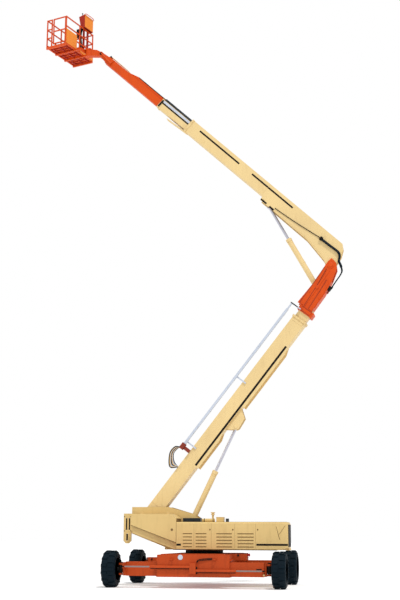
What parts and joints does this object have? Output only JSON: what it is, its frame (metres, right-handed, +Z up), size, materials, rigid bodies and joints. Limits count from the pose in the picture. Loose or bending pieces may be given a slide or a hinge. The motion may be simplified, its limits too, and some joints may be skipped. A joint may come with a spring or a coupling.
{
  "type": "articulating boom lift",
  "caption": "Self-propelled articulating boom lift: wheeled chassis with sliding axles, turntable, telescoping lower and upper booms and a railed work platform.",
  "frame": {"origin": "on the ground, under the slewing centre, midway between the axles", "axes": "+Z up; +Y along the wheels' rolling direction; +X across the machine, towards the side over which the knuckle stands"},
  "size_m": [11.0571, 4.83, 21.537],
  "materials": {
    "cream_paint": "cream paint, semi-gloss",
    "orange_paint": "orange-red paint, semi-gloss",
    "dark_metal": "black paint",
    "chrome": "hard-chromed rod",
    "bare_steel": "plain steel",
    "tyre": "black rubber, solid filled",
    "engine_iron": "painted castings",
    "tank_plastic": "moulded tanks",
    "cream_shell": "moulded cream hood"
  },
  "bodies": {
    "chassis": {"chassis_frame": "orange_paint", "extension_barrels": "orange_paint", "slew_ring": "dark_metal", "chassis_boxes": "orange_paint"},
    "axle_rear_left": {"axle_beam_rear_left": "orange_paint"},
    "steer_rear_left": {"knuckle_rear_left": "dark_metal"},
    "wheel_rear_left": {"tyre_rear_left": "tyre", "rim_rear_left": "dark_metal"},
    "axle_rear_right": {"axle_beam_rear_right": "orange_paint"},
    "steer_rear_right": {"knuckle_rear_right": "dark_metal"},
    "wheel_rear_right": {"tyre_rear_right": "tyre", "rim_rear_right": "dark_metal"},
    "axle_front_left": {"axle_beam_front_left": "orange_paint"},
    "steer_front_left": {"knuckle_front_left": "dark_metal"},
    "wheel_front_left": {"tyre_front_left": "tyre", "rim_front_left": "dark_metal"},
    "axle_front_right": {"axle_beam_front_right": "orange_paint"},
    "steer_front_right": {"knuckle_front_right": "dark_metal"},
    "wheel_front_right": {"tyre_front_right": "tyre", "rim_front_right": "dark_metal"},
    "turret": {"turret_frame": "cream_paint", "counterweight": "cream_paint", "end_brackets": "cream_paint", "engine_block": "engine_iron", "tank_block": "tank_plastic"},
    "hood_near": {"hood_near": "cream_shell", "hood_fittings": "dark_metal"},
    "hood_far": {"hood_far": "cream_shell"},
    "lower_boom": {"lower_boom_base": "cream_paint", "hose_guide": "bare_steel"},
    "lower_inner": {"lower_boom_inner": "cream_paint", "boom_knuckle": "orange_paint", "hose_rod": "bare_steel"},
    "upper_boom": {"upper_boom_base": "cream_paint"},
    "upper_mid": {"upper_boom_mid": "cream_paint", "mid_hose_trough": "bare_steel"},
    "upper_fly": {"upper_boom_fly": "orange_paint", "fly_hose_trough": "orange_paint"},
    "level_hub": {"level_hub": "dark_metal"},
    "platform_support": {"platform_support": "orange_paint"},
    "platform": {"platform_floor": "orange_paint", "platform_rails": "orange_paint", "platform_console": "orange_paint"},
    "gate": {"platform_gate": "orange_paint"},
    "lower_barrel": {"lower_lift_barrel": "cream_paint"},
    "lower_rod": {"lower_lift_rod": "chrome"},
    "upper_barrel": {"upper_lift_barrel": "cream_paint"},
    "upper_rod": {"upper_lift_rod": "chrome"}
  },
  "joints": [
    {"name": "slew", "type": "hinge", "parent": "chassis", "child": "turret", "pos_m": [0, 0, 1.07], "axis": [0, 0, 1], "continuous": true},
    {"name": "lower_lift", "type": "hinge", "parent": "turret", "child": "lower_boom", "pos_m": [-1.936, 0, 2.2], "axis": [0, -1, 0], "range_deg": [-52, 13]},
    {"name": "lower_extend", "type": "slide", "parent": "lower_boom", "child": "lower_inner", "axis": [0.6157, 0, 0.788], "range_m": [-0.22, 5.3]},
    {"name": "upper_lift", "type": "hinge", "parent": "lower_inner", "child": "upper_boom", "pos_m": [4.48684, 0, 10.90002], "axis": [0, 1, 0], "range_deg": [-95, 35]},
    {"name": "upper_mid_extend", "type": "slide", "parent": "upper_boom", "child": "upper_mid", "axis": [-0.7314, 0, 0.682], "range_m": [-1.35, 1.75]},
    {"name": "upper_fly_extend", "type": "slide", "parent": "upper_mid", "child": "upper_fly", "axis": [-0.7314, 0, 0.682], "range_m": [-2.5, 0.4]},
    {"name": "level_lower", "type": "hinge", "parent": "upper_fly", "child": "level_hub", "pos_m": [-4.04478, 0, 19.5956], "axis": [0, -1, 0], "range_deg": [-13, 52]},
    {"name": "level_upper", "type": "hinge", "parent": "level_hub", "child": "platform_support", "pos_m": [-4.04478, 0, 19.5956], "axis": [0, 1, 0], "range_deg": [-35, 95]},
    {"name": "platform_swing", "type": "hinge", "parent": "platform_support", "child": "platform", "pos_m": [-4.54978, 0, 19.5956], "axis": [0, 0, 1], "range_deg": [-72.3, 107.7]},
    {"name": "gate_swing", "type": "hinge", "parent": "platform", "child": "gate", "pos_m": [-5.31281, -0.69701, 19.88], "axis": [0, 0, -1], "range_deg": [0, 90]},
    {"name": "lower_barrel_pin", "type": "hinge", "parent": "turret", "child": "lower_barrel", "pos_m": [-0.76, 0, 1.45], "axis": [0, -1, 0], "range_deg": [-57, 15]},
    {"name": "lower_rod_slide", "type": "slide", "parent": "lower_barrel", "child": "lower_rod", "axis": [0.4353, 0, 0.9003], "range_m": [-1.08, 0.28]},
    {"name": "upper_barrel_pin", "type": "hinge", "parent": "lower_inner", "child": "upper_barrel", "pos_m": [4.00056, 0, 10.12006], "axis": [0, 1, 0], "range_deg": [-95.5, 35.5]},
    {"name": "upper_rod_slide", "type": "slide", "parent": "upper_barrel", "child": "upper_rod", "axis": [-0.4786, 0, 0.8781], "range_m": [-1.34, 0.5]},
    {"name": "hood_near_hinge", "type": "hinge", "parent": "turret", "child": "hood_near", "pos_m": [1.1, -0.372, 2.09], "axis": [-1, 0, 0], "range_deg": [0, 50]},
    {"name": "hood_far_hinge", "type": "hinge", "parent": "turret", "child": "hood_far", "pos_m": [1.1, 0.372, 2.09], "axis": [1, 0, 0], "range_deg": [0, 50]},
    {"name": "axle_extend_rear_left", "type": "slide", "parent": "chassis", "child": "axle_rear_left", "axis": [-1, 0, 0], "range_m": [-0.8, 0]},
    {"name": "steer_turn_rear_left", "type": "hinge", "parent": "axle_rear_left", "child": "steer_rear_left", "pos_m": [-2.42, -1.83, 0.585], "axis": [0, 0, 1], "range_deg": [-30, 30]},
    {"name": "wheel_roll_rear_left", "type": "hinge", "parent": "steer_rear_left", "child": "wheel_rear_left", "pos_m": [-2.755, -1.83, 0.585], "axis": [1, 0, 0], "continuous": true},
    {"name": "axle_extend_rear_right", "type": "slide", "parent": "chassis", "child": "axle_rear_right", "axis": [1, 0, 0], "range_m": [-0.8, 0]},
    {"name": "steer_turn_rear_right", "type": "hinge", "parent": "axle_rear_right", "child": "steer_rear_right", "pos_m": [2.42, -1.83, 0.585], "axis": [0, 0, 1], "range_deg": [-30, 30]},
    {"name": "wheel_roll_rear_right", "type": "hinge", "parent": "steer_rear_right", "child": "wheel_rear_right", "pos_m": [2.755, -1.83, 0.585], "axis": [1, 0, 0], "continuous": true},
    {"name": "axle_extend_front_left", "type": "slide", "parent": "chassis", "child": "axle_front_left", "axis": [-1, 0, 0], "range_m": [-0.8, 0]},
    {"name": "steer_turn_front_left", "type": "hinge", "parent": "axle_front_left", "child": "steer_front_left", "pos_m": [-2.42, 1.83, 0.585], "axis": [0, 0, 1], "range_deg": [-30, 30]},
    {"name": "wheel_roll_front_left", "type": "hinge", "parent": "steer_front_left", "child": "wheel_front_left", "pos_m": [-2.755, 1.83, 0.585], "axis": [1, 0, 0], "continuous": true},
    {"name": "axle_extend_front_right", "type": "slide", "parent": "chassis", "child": "axle_front_right", "axis": [1, 0, 0], "range_m": [-0.8, 0]},
    {"name": "steer_turn_front_right", "type": "hinge", "parent": "axle_front_right", "child": "steer_front_right", "pos_m": [2.42, 1.83, 0.585], "axis": [0, 0, 1], "range_deg": [-30, 30]},
    {"name": "wheel_roll_front_right", "type": "hinge", "parent": "steer_front_right", "child": "wheel_front_right", "pos_m": [2.755, 1.83, 0.585], "axis": [1, 0, 0], "continuous": true}
  ],
  "couplings": [
    {"joint": "lower_barrel_pin", "follows": "lower_lift", "ratio": 1.09},
    {"joint": "lower_rod_slide", "follows": "lower_lift", "m_per_rad": 1.175},
    {"joint": "upper_barrel_pin", "follows": "upper_lift", "ratio": 1},
    {"joint": "upper_rod_slide", "follows": "upper_lift", "m_per_rad": 0.8},
    {"joint": "level_lower", "follows": "lower_lift", "ratio": -1},
    {"joint": "level_upper", "follows": "upper_lift", "ratio": -1}
  ]
}
